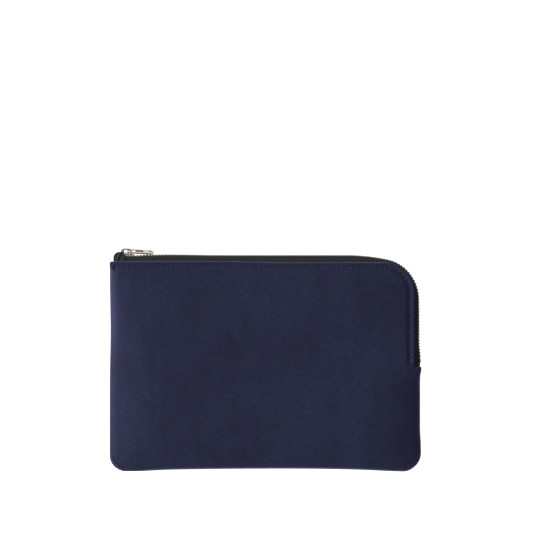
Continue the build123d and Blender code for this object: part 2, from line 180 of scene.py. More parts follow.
def outline(inset, zip_inset):
    """Closed outline seen from the front, clockwise from the top left corner.

    Every inset gives the same number of points, so outlines can be joined into rings."""
    left, right = -HALF_WIDTH + inset, HALF_WIDTH - inset
    top, hem_x, bottom = HEM_Y - zip_inset, HEM_X - zip_inset, BOTTOM_Y + inset
    r_top = 1.4 + 0.2 * zip_inset
    r_low_left, r_low_right = 10.7 - 0.55 * inset, 12.0 - 0.6 * inset
    notch_in, notch_out = NOTCH_Y - 0.55 * zip_inset, NOTCH_Y - 1.1 * zip_inset
    r_tip = 0.7 + 0.12 * inset
    parts = [
        corner(left + r_top, top - r_top, r_top, 180, 90, 8),
        line((left + r_top, top), (CORNER_X, top), 240),
        corner(CORNER_X, CORNER_Y, HEM_RADIUS - zip_inset, 90, 0, 44),
        line((hem_x, CORNER_Y), (hem_x, notch_in + 0.4), 66),
        line((hem_x, notch_in + 0.4), (hem_x + 0.4, notch_in), 2),
        line((hem_x + 0.4, notch_in), (right - r_tip, notch_out), 7),
        corner(right - r_tip, notch_out - r_tip, r_tip, 90, 0, 6),
        line((right, notch_out - r_tip), (right, bottom + r_low_right), 62),
        corner(right - r_low_right, bottom + r_low_right, r_low_right, 0, -90, 24, 1.82),
        line((right - r_low_right, bottom), (left + r_low_left, bottom), 170),
        corner(left + r_low_left, bottom + r_low_left, r_low_left, -90, -180, 22, 1.95),
        line((left, bottom + r_low_left), (left, top - r_top), 120),
    ]
    return bowed(np.concatenate(parts))


def hem_share(points):
    """1 along the zip's hem, 0 along a sewn side, and smooth between."""
    x, y = points[:, 0], points[:, 1]
    left = ease((y - (HEM_Y - 7.5)) / 6.5)
    right = ease((y - (NOTCH_Y - 12)) / 10.5)
    middle = ((x > -HALF_WIDTH + 3) & (y > NOTCH_Y - 3)).astype(float)
    value = np.where(x < -60, left, right)
    return np.where((y > HEM_Y - 1.5) | (middle > 0), 1.0, value)


# --- height of a face -------------------------------------------------------------------------
def crown(x, y, peak, zip_edge=ZIP_EDGE, sewn_edge=SEWN_EDGE):
    """Height above the seam plane: the CAD model's crown, held flatter where the zip is sewn in."""
    u = x / (HALF_WIDTH + 1.6)
    v = (y - BODY_MID_Y) / (HEM_Y - BODY_MID_Y + 1.6)
    across = np.where(x < 0, 6 + 9 * ease((y + 5) / 40), 6.6)
    fullness = np.maximum(-0.3, 1 - np.abs(u) ** across) * np.maximum(-0.3, 1 - v**10)
    by_top = ease((y - 25) / 40)
    by_side = ease((x - 65) / 35) * ease((y + 24) / 16)
    zipped = 1 - (1 - by_top) * (1 - by_side)
    edge = sewn_edge + (zip_edge - sewn_edge) * zipped
    return edge + (peak - edge) * fullness


def waviness(x, y, seed):
    """Slow unevenness of a soft face that has lain in a drawer, about 0.2 mm."""
    out = np.empty(len(x))
    for k in range(len(x)):
        p = Vector((x[k], y[k], 31.7 * seed))
        slow = noise.noise(p / 46.0)
        streak = noise.noise(Vector((x[k] / 13.0, y[k] / 34.0, 7.3 + seed)))
        fine = noise.noise(p / 6.5)
        out[k] = 0.20 * slow + 0.10 * streak + 0.035 * fine
    return out


def stitch_wave(x, y):
    """Depth of the stitch line: deepest at the needle holes."""
    top = x - STITCH_START_X
    straight = CORNER_X - STITCH_START_X
    round_corner = straight + np.arctan2(x - CORNER_X, y - CORNER_Y) * STITCH_WAVE_RADIUS
    side = straight + STITCH_WAVE_RADIUS * math.pi / 2 + (CORNER_Y - y)
    along = np.where(x < CORNER_X, top, np.where(y > CORNER_Y, round_corner, side))
    return 0.5 - 0.5 * np.cos(2 * np.pi * along / STITCH_PITCH)


def face_height(points, s, hem, seed, peak):
    """Outer surface above the seam plane at distance s from the outline."""
    x, y = points[:, 0], points[:, 1]
    h = crown(x, y, peak)
    h = h + waviness(x, y, seed) * ease(s / 9.0)
    wave = stitch_wave(x, y)
    # hem: round rim, then the pressed stitch line, then the edge of the turned allowance;
    # the swell and the stitch line run out at the notch and at the left end
    rim_depth, rim_width = 0.62, 0.75
    from_rim = 1 - np.clip(s / rim_width, 0, 1)
    rim = -rim_depth * (1 - np.sqrt(np.clip(1 - from_rim**2, 0, 1)))
    groove = -(0.55 - 0.28 * wave) * bump(s, STITCH_INSET, 0.7)
    swell = 0.62 * bump(s, 0.85, 1.25) - 0.16 * bump(s, 2.7, 1.0) + 0.10 * bump(s, 6.0, 1.6)
    stitched = np.where(x > 60, ease((y - NOTCH_Y - 0.8) / 3.5), ease((x + 104.5) / 3))
    h_hem = h + rim + (groove + swell) * stitched
    # sewn side: rolls over to the seam, with the allowance showing as a low ridge
    # (the bottom is pressed harder, so its shoulder is tighter)
    low = ease((-60 - y) / 10)
    reach = 5.6 - 1.6 * low
    roll = np.clip(s / reach, 0, 1)
    power = 1.9 + 0.5 * low
    full = (1 - (1 - roll) ** power) ** (1 / power)
    ridge = 0.10 * bump(s, 2.0, 1.1) + low * (0.34 * bump(s, 1.5, 0.75) - 0.10 * bump(s, 3.2, 0.9))
    h_sewn = 0.7 + (h - 0.7) * full + ridge * np.clip(s, 0, 1)
    return h_sewn + (h_hem - h_sewn) * hem


# distances of the rings from the outline, close together round the stitch line
RINGS = [0, 0.08, 0.22, 0.45, 0.75, 1.1, 1.5, 1.95, 2.4, 2.8, 3.1]
RINGS += [3.3, 3.45, 3.6, 3.85, 4.2, 4.7, 5.4, 6.3, 7.4, 8.6, EDGE_BAND]
# the under side as (distance from the outline, height): below the outer surface where
# negative, else above the seam plane
UNDER_HEM = [(0.1, -0.95), (0.4, -1.18), (1.6, -1.27), (3.2, -1.30), (4.8, -1.28)]
UNDER_HEM += [(6.2, -1.24), (7.2, -1.2), (8.2, -1.15), (9.2, -1.1)]
UNDER_SEWN = [(0.22, 0.32), (0.7, 0.12), (5.6, 0.06), (5.9, 0.6), (5.7, 1.1)]
UNDER_SEWN += [(1.8, 1.15), (1.3, 1.5), (1.6, -1.35), (4.0, -1.12)]


def puckers(points, s, hem):
    """Small gathers where the turned seam goes round the two lower corners."""
    out = np.zeros(len(points))
    for cx, cy, phase in ((-96.9, -67.3, 0.4), (94.8, -65.2, 1.9)):
        dx, dy = points[:, 0] - cx, points[:, 1] - cy
        angle = np.arctan2(dy, dx)
        outside = ease((np.abs(dx) + np.abs(dy)) / 9.0) * (dy < 3) * (np.sign(cx) * dx > -3)
        out += outside * bump(s, 2.6, 2.2) * 0.16 * np.sin(angle * 11 + phase)
    return out * (1 - hem)


def suede_face(name, side, seed, peak):
    """One suede face as a closed skin: outer surface, rolled edges, allowance and inner side."""
    outer, inner = outline(0, 0), outline(EDGE_BAND, EDGE_BAND)
    hem = hem_share(outer)
    count = len(outer)
    vertices, faces = [], []

    def flat_floor(h):
        """The back face is pressed flat where it lies on the table."""
        if side == FRONT:
            return h
        limit, soft = SEAM_Z - 0.03, 0.35
        return limit - soft * np.log1p(np.exp((limit - h) / soft))

    def ring(s):
        """The outline moved inwards by s, one distance or one for each point."""
        return outer + (inner - outer) * (np.reshape(s, (-1, 1)) / EDGE_BAND)

    def put(points, heights):
        start = len(vertices)
        vertices.extend(zip(points[:, 0], points[:, 1], SEAM_Z + side * heights))
        return start

    def fill(rim_start, grid_start, corners):
        places = [*range(rim_start, rim_start + count)]
        places += range(grid_start, grid_start + len(grid))
        faces.extend(tuple(places[k] for k in corner) for corner in corners)

    # outer surface: rings along the edge, then a regular grid inside the last ring
    starts = []
    for s in RINGS:
        points = ring(s)
        d = np.full(count, float(s))
        h = face_height(points, d, hem, seed, peak) + puckers(points, d, hem)
        starts.append(put(points, flat_floor(h)))
    for a, b in zip(starts, starts[1:]):
        band(faces, a, b, count)
    rim = ring(EDGE_BAND)
    grid, triangles = grid_inside(rim, SUEDE_GRID)
    h = face_height(grid, np.full(len(grid), EDGE_BAND), np.zeros(len(grid)), seed, peak)
    fill(starts[-1], put(grid, flat_floor(h)), triangles)
    # under side: the turned edge, then the inner surface
    last = starts[0]
    for (s_hem, z_hem), (s_sewn, z_sewn) in zip(UNDER_HEM, UNDER_SEWN):
        points = ring(s_sewn + (s_hem - s_sewn) * hem)
        h = crown(points[:, 0], points[:, 1], peak)
        low = h + z_sewn if z_sewn < 0 else np.full(count, z_sewn)
        height = low + (h + z_hem - low) * hem
        if side == BACK:
            height = np.minimum(height, SEAM_Z - SUEDE)
        now = put(points, height)
        band(faces, now, last, count)
        last = now
    now = put(rim, flat_floor(crown(rim[:, 0], rim[:, 1], peak)) - SUEDE)
    band(faces, now, last, count)
    h = flat_floor(crown(grid[:, 0], grid[:, 1], peak)) - SUEDE
    fill(now, put(grid, h), [t[::-1] for t in triangles])
    piece = add_object(name, vertices, faces)
    join_quads(piece)
    fix_normals(piece)
    return piece


def grid_inside(rim, spacing):
    """Points of a regular grid inside a closed ring, and the triangles that fill the ring.

    The triangles number the ring's points first, then the grid's."""
    count = len(rim)
    gx = np.arange(-HALF_WIDTH, HALF_WIDTH, spacing)
    gy = np.arange(BOTTOM_Y, HEM_Y, spacing)
    grid = np.array([(x, y) for x in gx for y in gy])
    grid = grid[inside(grid, rim, spacing * 0.55)]
    flat = [Vector(p) for p in rim] + [Vector(p) for p in grid]
    edges = [(k, (k + 1) % count) for k in range(count)]
    points, _, triangles, sources, _, _ = geometry.delaunay_2d_cdt(flat, edges, [], 1, 1e-5)
    new_points, number = [], []
    for point, source in zip(points, sources):
        if source and source[0] < count:
            number.append(source[0])
        else:
            number.append(count + len(new_points))
            new_points.append(point[:])
    return np.array(new_points), [tuple(number[k] for k in t) for t in triangles]


def inside(points, polygon, margin):
    """True for points inside a closed polygon and at least margin from it."""
    x, y = points[:, 0][:, None], points[:, 1][:, None]
    a, b = polygon, np.roll(polygon, -1, 0)
    crosses = (a[:, 1] > y) != (b[:, 1] > y)
    rise = b[:, 1] - a[:, 1]
    rise = np.where(np.abs(rise) < 1e-12, 1e-12, rise)
    at = a[:, 0] + (y - a[:, 1]) * (b[:, 0] - a[:, 0]) / rise
    odd = (crosses & (x < at)).sum(1) % 2 == 1
    far = ((x - a[:, 0]) ** 2 + (y - a[:, 1]) ** 2).min(1) > margin**2
    return odd & far


def join_quads(piece):
    """Joins the grid's triangles into quads."""
    bm = bmesh.new()
    bm.from_mesh(piece.data)
    triangles = [f for f in bm.faces if len(f.verts) == 3]
    bmesh.ops.join_triangles(
        bm, faces=triangles, angle_face_threshold=0.6, angle_shape_threshold=0.6
    )
    bm.to_mesh(piece.data)
    bm.free()
    piece.data.shade_smooth()


# --- zip path ---------------------------------------------------------------------------------
def lengths_along(points):
    """Length along a chain of points up to each of them."""
    return np.concatenate([[0], np.cumsum(np.hypot(*np.diff(points, axis=0).T))])


def zip_route():
    """Middle of the chain as rows of x, y and heading, with the length up to each row."""
    rows = []
    heading, at = 0.0, np.array([ZIP_LEFT_X, ZIP_Y])
    step = 0.05

    def run(length, radius=None, turn=0.0):
        nonlocal heading, at
        total = length if radius is None else radius * abs(math.radians(turn))
        steps = max(2, int(total / step))
        for _ in range(steps):
            rows.append((at[0], at[1], heading))
            ds = total / steps
            mid = heading + math.radians(turn) / steps / 2
            at = at + ds * np.array([math.cos(mid), math.sin(mid)])
            heading += math.radians(turn) / steps

    run(EASE_START_X - ZIP_LEFT_X)
    run(0, EASE_RADIUS, -EASE_ANGLE)
    run(0, CHAIN_RADIUS, EASE_ANGLE - 90)
    run(at[1] - FLARE_START_Y)
    run(0, FLARE_RADIUS, FLARE_ANGLE)
    run(0, FLARE_RADIUS, -FLARE_ANGLE)
    run(at[1] - ZIP_END_Y)
    rows = np.array(rows)
    return rows, lengths_along(rows[:, :2])


ROUTE, ROUTE_LENGTH = zip_route()


def proud(x, y, length):
    """How far the closed chain stands out of its drawn line past the slider."""
    free = ease((length - 12) / 12) * ease((ROUTE_LENGTH[-1] - length) / 10)
    corner_pull = 1 - bump(np.hypot(x - 100, y - 52), 0, 14)
    return free * (0.35 * corner_pull + 0.36 * bump(x, -62, 20))


def on_route(length):
    """(point, tangent, outward normal) at a length along the chain."""
    length = np.atleast_1d(length)
    x = np.interp(length, ROUTE_LENGTH, ROUTE[:, 0])
    y = np.interp(length, ROUTE_LENGTH, ROUTE[:, 1])
    a = np.interp(length, ROUTE_LENGTH, ROUTE[:, 2])
    tangent = np.stack([np.cos(a), np.sin(a)], 1)
    normal = np.stack([-np.sin(a), np.cos(a)], 1)
    return np.stack([x, y], 1) + normal * proud(x, y, length)[:, None], tangent, normal


def tape_profile():
    """Closed section of a tape as (outwards, height): corded edge, bend and flat."""
    half, bend = 0.25, 0.75  # half the thickness, and the radius of the bend
    flat_z, depth, rise = 3.9, 11.5, 0.3
    middle = [(0.0, BEAD_Z + 0.5), (0.0, 2.3), (0.0, 2.75), (0.0, flat_z - bend)]
    for a in (15, 30, 45, 60, 75, 90):
        t = math.radians(a)
        middle.append((-bend * (1 - math.cos(t)), flat_z - bend + bend * math.sin(t)))
    for n in (1.0, 1.4, 1.9, 2.5, 3.2, 4.2, 5.5, 7.0, 9.0, depth):
        middle.append((-n, flat_z + rise * (n - bend) / (depth - bend)))
    middle = np.array(middle)
    d = np.gradient(middle, axis=0)
    d /= np.linalg.norm(d, axis=1)[:, None]
    left = middle + half * np.stack([d[:, 1], -d[:, 0]], 1)
    right = middle - half * np.stack([d[:, 1], -d[:, 0]], 1)
    bead = [
        (BEAD_RADIUS * math.cos(math.radians(a)), BEAD_Z + BEAD_RADIUS * math.sin(math.radians(a)))
        for a in range(125, 416, 24)
    ]
    tip = [tuple(middle[-1] + (-0.05, 0))]
    return np.array(bead + list(left[1:]) + tip + list(right[:0:-1]))


def woven(name, vertices, faces, along, across):
    """A piece of tape cloth, with its distances along and across kept for the weave."""
    piece = add_object(name, vertices, faces)
    point_value(piece, "along", along)
    point_value(piece, "across", across)
    fix_normals(piece)
    return piece


def tape(name, side):
    """Woven tape: its section carried along the chain."""
    section = tape_profile()
    lengths = np.arange(0, ROUTE_LENGTH[-1], 1.2)
    points, _, normals = on_route(lengths)
    across = lengths_along(section)
    vertices, u, v, faces = [], [], [], []
    for k, (p, n) in enumerate(zip(points, normals)):
        for (out, z), w in zip(section, across):
            vertices.append((p[0] + n[0] * out, p[1] + n[1] * out, SEAM_Z + side * z))
            u.append(lengths[k])
            v.append(w)
    m = len(section)
    for k in range(len(points) - 1):
        band(faces, k * m, (k + 1) * m, m)
    cap(faces, 0, m)
    cap(faces, (len(points) - 1) * m, m)
    return woven(name, vertices, faces, u, v)


def tape_end(name, side):
    """Folded end of a tape: a soft double layer that stands up beside the slider."""
    columns, rows = 40, 34
    x0, x1, y0, y1, shoulder = -102.9, -94.6, 60.0, 73.25, 4.4
    vertices, faces, u, v = [], [], [], []
    for layer in (1, -1):
        for j in range(rows + 1):
            for i in range(columns + 1):
                p, q = i / columns, 1 - (1 - j / rows) ** 1.3
                x = x0 + (x1 - x0) * p
                # the left shoulder is a quarter round, the right one drops under the bail
                inwards = max(0.0, min(1.0, (x0 + shoulder - x) / shoulder))
                top = y1 - shoulder * (1 - math.sqrt(max(0.0, 1 - inwards**2.2)))
                top -= 0.35 * (x - x0) / 7 + 2.2 * float(ease((x + 96.4) / 1.4))
                y = y0 + (top - y0) * q
                x += 0.12 * math.sin(y * 1.3) * p
                # rounded edges: the cloth is folded over itself
                side_gap = min(x - x0, 3 * (x1 + 0.2 - x))
                gap = max(0.0, min(1.0, min(side_gap, top - y) / 0.75))
                puff = math.sqrt(max(0.0, 1 - (1 - gap) ** 2))
                # the fold runs as a ridge from low left to the top, with a hollow beside it
                line_x = x0 + 2.9 + 0.42 * (y - 68.0)
                ridge = 0.30 * bump(x, line_x, 0.65) - 0.12 * bump(x, line_x + 1.5, 0.8)
                ridge += 0.10 * bump(x, line_x + 3.4, 0.8)
                under = 0.35 if y < HEM_Y - 0.4 else 1.0
                thick = (0.12 + 0.34 * puff) * under
                z = 4.0 + (ridge * puff if layer > 0 else 0) * under + layer * thick
                vertices.append((x, y, SEAM_Z + side * z))
                u.append(x * 0.7 + y * 0.7)
                v.append(y * 0.7 - x * 0.7)
    stride = columns + 1
    half = stride * (rows + 1)
    for j in range(rows):
        for i in range(columns):
            a = j * stride + i
            faces.append((a, a + 1, a + 1 + stride, a + stride))
            faces.append((half + a, half + a + stride, half + a + 1 + stride, half + a + 1))
    rim = list(range(stride))
    rim += [j * stride + columns for j in range(1, rows + 1)]
    rim += [rows * stride + i for i in range(columns - 1, -1, -1)]
    rim += [j * stride for j in range(rows - 1, 0, -1)]
    for a, b in zip(rim, rim[1:] + rim[:1]):
        faces.append((a, half + a, half + b, b))
    return woven(name, vertices, faces, u, v)


# --- teeth ------------------------------------------------------------------------------------
def tooth_outline():
    """Section of one element as (outwards, height), with the mouth that grips the tape."""
    r = BEAD_RADIUS + 0.06
    slot = 0.31
    grip = [
        (r * math.sin(math.radians(a)), BEAD_Z - r * math.cos(math.radians(a)))
        for a in np.linspace(152, -152, 15)
    ]
    return (
        [(0.0, -0.74), (0.5, -0.70), (0.70, -0.52), (0.78, -0.2), (0.78, 0.35), (0.86, 0.6)]
        + [(0.9, 0.9), (0.9, 1.7), (0.84, 2.08), (0.66, 2.25), (slot, 2.22)]
        + grip
        + [(-slot, 2.22), (-0.66, 2.25), (-0.84, 2.08), (-0.9, 1.7), (-0.9, 0.9), (-0.86, 0.6)]
        + [(-0.78, 0.35), (-0.78, -0.2), (-0.70, -0.52), (-0.5, -0.70)]
    )


def tooth_mesh():
    """Vertices (along, outwards, height) and faces of one element with softened edges."""
    profile = np.array(tooth_outline())
    m = len(profile)
    layers = [(-0.49, 0.09), (-0.46, 0.03), (-0.38, 0.0), (0.38, 0.0), (0.46, 0.03), (0.49, 0.09)]
    vertices, faces = [], []
    tangent = np.roll(profile, -1, 0) - np.roll(profile, 1, 0)
    tangent /= np.linalg.norm(tangent, axis=1)[:, None]
    inward = np.stack([-tangent[:, 1], tangent[:, 0]], 1)
    for t, inset in layers:
        ring = profile + inward * inset
        vertices += [(t, p[0], p[1]) for p in ring]
    for k in range(len(layers) - 1):
        band(faces, k * m, (k + 1) * m, m)
    faces.append(tuple(range(m - 1, -1, -1)))
    cap(faces, (len(layers) - 1) * m, m)
    # nub on the leading side
    nub_start, nub_height, nub_radius, nub_z = 0.47, 0.22, 0.3, -0.15
    base, sides, rows = len(vertices), 8, 3
    for r in range(rows):
        a = math.radians(90 * r / rows)
        wide = nub_radius * math.cos(a)
        for s in range(sides):
            b = 2 * math.pi * s / sides
            along = nub_start + nub_height * math.sin(a)
            vertices.append((along, wide * math.cos(b), nub_z + wide * math.sin(b)))
    tip = len(vertices)
    vertices.append((nub_start + nub_height, 0.0, nub_z))
    for r in range(rows - 1):
        band(faces, base + r * sides, base + (r + 1) * sides, sides)
    last = base + (rows - 1) * sides
    for s in range(sides):
        faces.append((last + s, last + (s + 1) % sides, tip))
    faces.append(tuple(range(base + sides - 1, base - 1, -1)))
    return np.array(vertices), faces


def teeth(name, side):
    """A row of elements; the back row stands half a pitch further along and a little lower."""
    height = FRONT_TOOTH_HEIGHT if side == FRONT else BACK_TOOTH_HEIGHT
    shape, shape_faces = tooth_mesh()
    first = FIRST_TOOTH_X - ZIP_LEFT_X + (PITCH / 2 if side == BACK else 0)
    last = ROUTE_LENGTH[-1] - (LAST_TOOTH_Y - ZIP_END_Y)
    lengths = np.arange(first, last, PITCH)
    points, tangents, normals = on_route(lengths)
    vertices, faces, tint = [], [], []
    for k, (p, t, n) in enumerate(zip(points, tangents, normals)):
        start = len(vertices)
        # clamped by machine, so each sits a little differently
        lean = 0.018 * math.sin(k * 2.4 + side)
        shift = 0.02 * math.sin(k * 1.7 + 2 * side)
        for a, out, z in shape:
            a2 = a + lean * z + shift
            out *= height if out > 0 else 1.0
            vertices.append(
                (p[0] + t[0] * a2 + n[0] * out, p[1] + t[1] * a2 + n[1] * out, SEAM_Z + side * z)
            )
            tint.append(0.5 + 0.5 * math.sin(k * 12.9898 + side * 3))
        faces += [tuple(start + j for j in f) for f in shape_faces]
    piece = add_object(name, vertices, faces, smooth=False)
    point_value(piece, "tint", tint)
    fix_normals(piece)
    piece.data.shade_smooth()
    piece.data.set_sharp_from_angle(angle=math.radians(38))
    return piece


# --- stitches ---------------------------------------------------------------------------------
def stitch_line():
    """Points along the stitch line, with the length up to each."""
    line_y, line_x = HEM_Y - STITCH_INSET, HEM_X - STITCH_INSET
    top = line((STITCH_START_X, line_y), (CORNER_X, line_y), 800)
    top[:, 1] -= hem_sag(top[:, 0])
    turn = corner(CORNER_X, CORNER_Y, HEM_RADIUS - STITCH_INSET, 90, 0, 160)
    side = line((line_x, CORNER_Y), (line_x, STITCH_END_Y), 220)
    points = np.concatenate([top, turn, side, [[line_x, STITCH_END_Y]]])
    return points, lengths_along(points)


def stitches(name, side, seed, peak):
    """Two-ply stitches, each dipping into its needle holes."""
    points, along = stitch_line()
    rng = np.random.default_rng(11 + seed)
    steps, sides = 14, 6
    radius, twist_radius = 0.15, 0.12
    vertices, faces = [], []
    for k in range(int(along[-1] / STITCH_PITCH)):
        middle = (k + 0.5) * STITCH_PITCH
        length = STITCH_LENGTH + rng.normal(0, 0.06)
        sideways = rng.normal(0, 0.05)
        yaw = rng.normal(0, 0.035)
        s = middle + np.linspace(-0.5, 0.5, steps + 1) * length
        x, y = np.interp(s, along, points[:, 0]), np.interp(s, along, points[:, 1])
        direction = np.array([x[-1] - x[0], y[-1] - y[0]])
        direction /= np.linalg.norm(direction)
        across = np.array([-direction[1], direction[0]])
        t = np.linspace(-1, 1, steps + 1)
        x = x + across[0] * (sideways + yaw * t * length / 2)
        y = y + across[1] * (sideways + yaw * t * length / 2)
        base = crown(x, y, peak) - 0.34
        arch = base + 0.32 * (1 - t**4) - 0.42 * np.abs(t) ** 9
        z = arch if side == FRONT else np.minimum(arch, SEAM_Z - 0.25)
        for ply in (0, 1):
            start = len(vertices)
            for i in range(steps + 1):
                twist = 2.2 * math.pi * t[i] + math.pi * ply
                taper = radius * (0.35 + 0.65 * math.sqrt(max(0.0, 1 - abs(t[i]) ** 6)))
                for j in range(sides):
                    a = 2 * math.pi * j / sides
                    out = twist_radius * math.cos(twist) + taper * math.cos(a)
                    up = twist_radius * math.sin(twist) + taper * math.sin(a)
                    px, py = x[i] + across[0] * out, y[i] + across[1] * out
                    vertices.append((px, py, SEAM_Z + side * (z[i] + up)))
            for i in range(steps):
                band(faces, start + i * sides, start + (i + 1) * sides, sides)
            cap(faces, start, sides)
            cap(faces, start + steps * sides, sides)
    piece = add_object(name, vertices, faces)
    fix_normals(piece)
    return piece


# --- lining -----------------------------------------------------------------------------------
def lining_outline(inset):
    """Outline of a lining half, moved further inwards by inset."""
    return outline(LINING_SEWN_INSET + inset, LINING_ZIP_INSET + inset)


def lining(name, side, seed):
    """Half of the inner bag: a thin cloth with a turned top edge."""
    outer, inner = lining_outline(0), lining_outline(EDGE_BAND)
    hem = hem_share(outline(0, 0))
    count = len(outer)
    vertices, faces = [], []
    for s in (0, 0.3, 0.8, 1.6, 3, 5, 7.5, EDGE_BAND):
        points = outer + (inner - outer) * (s / EDGE_BAND)
        h = crown(points[:, 0], points[:, 1], *LINING_FORM)
        roll = np.clip(s / 2.0, 0, 1)
        sewn = 0.1 + (h - 0.1) * (1 - (1 - roll) ** 2) ** 0.5
        h = sewn + (h - 0.1 - sewn) * hem
        rim_start = len(vertices)
        vertices.extend(zip(points[:, 0], points[:, 1], SEAM_Z + side * h))
        if s > 0:
            band(faces, rim_start - count, rim_start, count)
    grid, triangles = grid_inside(inner, LINING_GRID)
    heights = crown(grid[:, 0], grid[:, 1], *LINING_FORM)
    for (x, y), h in zip(grid, heights):
        h += 0.12 * noise.noise(Vector((x / 22, y / 22, 3.0 * seed)))
        vertices.append((x, y, SEAM_Z + side * h))
    faces.extend(tuple(rim_start + k for k in t) for t in triangles)
    piece = add_object(name, vertices, faces)
    join_quads(piece)
    fix_normals(piece)
    return piece


# --- metal parts ------------------------------------------------------------------------------
def solid_plate(name, loops, thickness, bevel, matrix, resolution=2):
    """A flat plate with holes and rounded edges, from closed outlines in its own plane."""
    curve = bpy.data.curves.new(name, "CURVE")
    curve.dimensions = "2D"
    curve.fill_mode = "BOTH"
    curve.extrude = (thickness / 2 - bevel) * MM
    curve.bevel_depth = bevel * MM
    curve.bevel_resolution = resolution
    curve.offset = -bevel * MM
    for loop in loops:
        spline = curve.splines.new("POLY")
        spline.points.add(len(loop) - 1)
        for point, (x, y) in zip(spline.points, loop):
            point.co = (x * MM, y * MM, 0, 1)
        spline.use_cyclic_u = True
    holder = bpy.data.objects.new(name + "_curve", curve)
    bpy.context.scene.collection.objects.link(holder)
    bpy.context.view_layer.update()
    graph = bpy.context.evaluated_depsgraph_get()
    mesh = bpy.data.meshes.new_from_object(holder.evaluated_get(graph))
    bpy.data.objects.remove(holder)
    bm = bmesh.new()
    bm.from_mesh(mesh)
    bmesh.ops.remove_doubles(bm, verts=bm.verts, dist=1e-6)
    bmesh.ops.recalc_face_normals(bm, faces=bm.faces)
    bm.to_mesh(mesh)
    bm.free()
    mesh.transform(matrix)
    mesh.name = name
    piece = bpy.data.objects.new(name, mesh)
    bpy.context.scene.collection.objects.link(piece)
    mesh.shade_smooth()
    mesh.set_sharp_from_angle(angle=math.radians(42))
    return piece


def round_loop(cx, rx, ry, count, power=2.0):
    """Closed round outline; a power over 2 squares it."""
    out = []
    for k in range(count):
        a = 2 * math.pi * k / count
        c, s = math.cos(a), math.sin(a)
        size = (abs(c) ** power + abs(s) ** power) ** (-1 / power)
        out.append((cx + rx * size * c, ry * size * s))
    return out


def softened(points, radius, steps=4):
    """The closed polygon with its corners rounded; a third number is that corner's own radius."""
    out = []
    m = len(points)
    for k in range(m):
        own = points[k][2] if len(points[k]) > 2 else radius
        p, before, after = (Vector(points[j][:2]) for j in (k, k - 1, (k + 1) % m))
        a, b = before - p, after - p
        reach = min(own, a.length * 0.45, b.length * 0.45)
        start, end = p + a.normalized() * reach, p + b.normalized() * reach
        for i in range(steps + 1):
            t = i / steps
            q = start.lerp(p, t).lerp(p.lerp(end, t), t)
            out.append((q.x, q.y))
    return out


def pull_tab():
    """Flat tab with an eye round the bail, a long slot and an end hole, and a dark plate inside the
    slot that paints the slot's shade.
    """
    half, length = 2.6, 17.6
    tip = [
        (length - half + half * math.cos(a), half * math.sin(a), 0.2)
        for a in np.linspace(-math.pi / 2, math.pi / 2, 15)
    ]
    neck = [(6.5, half), (4.2, 2.35), (0.1, 2.35), (-0.45, 1.9)]
    outer = [(x, -y, 0.5) for x, y in reversed(neck)] + tip + [(x, y, 0.5) for x, y in neck]
    outer = softened(outer, 0.5, 3)
    eye = softened([(0.45, -1.35), (4.5, -1.35), (4.5, 1.35), (0.45, 1.35)], 0.5)
    slot_x, slot_half, slot_width = 7.9, 2.7, 0.95
    slot = round_loop(slot_x, slot_half, slot_width, 32, 3.2)
    # the dark plate that paints the shade inside the open slot, a little larger than the slot
    floor = round_loop(slot_x, slot_half + 0.2, slot_width + 0.2, 32, 3.2)
    hole = round_loop(length - half, 0.95, 0.95, 20)
    # local x along the tab, local y across; the tab stands on edge and leans
    stand = Matrix(((1, 0, 0, 0), (0, 0, -1, 0), (0, 1, 0, 0), (0, 0, 0, 1)))
    lean = Matrix.Rotation(math.radians(TAB_TILT), 4, "X")
    slope = Matrix.Rotation(math.radians(TAB_SLOPE), 4, "Z")
    place = Matrix.Translation(PIVOT) @ slope @ stand @ lean
    plate = solid_plate("pull_tab_metal", [outer, eye, slot, hole], 0.9, 0.22, place, 3)
    slot_shade_plate = solid_plate("pull_tab_slot_painted_shade", [floor], 0.3, 0.05, place, 1)
    return plate, slot_shade_plate


def slider_bail():
    """Flat arch on the upper wing, with thick feet and a window for the pull tab."""
    side_view = Matrix.Translation(Vector((SLIDER_X, ZIP_Y, SEAM_Z)) * MM)
    top = BAIL_TOP_Y - ZIP_Y
    top_bar = 1.3
    outer = softened(
        [(-2.7, 1.9, 0.3), (-4.3, 3.3), (-3.9, 4.4), (-2.6, top, 0.9), (2.4, top, 1.0)]
        + [(3.6, 4.2, 0.9), (4.4, 2.9, 0.6), (4.2, 1.9, 0.3)],
        0.7,
    )
    inner = softened(
        [(-1.5, 2.85), (1.85, 2.85), (2.15, 3.6), (1.5, top - top_bar), (-1.5, top - top_bar)], 0.5
    )
    return solid_plate("slider_bail_metal", [outer, inner], 1.6, 0.52, side_view, 4)


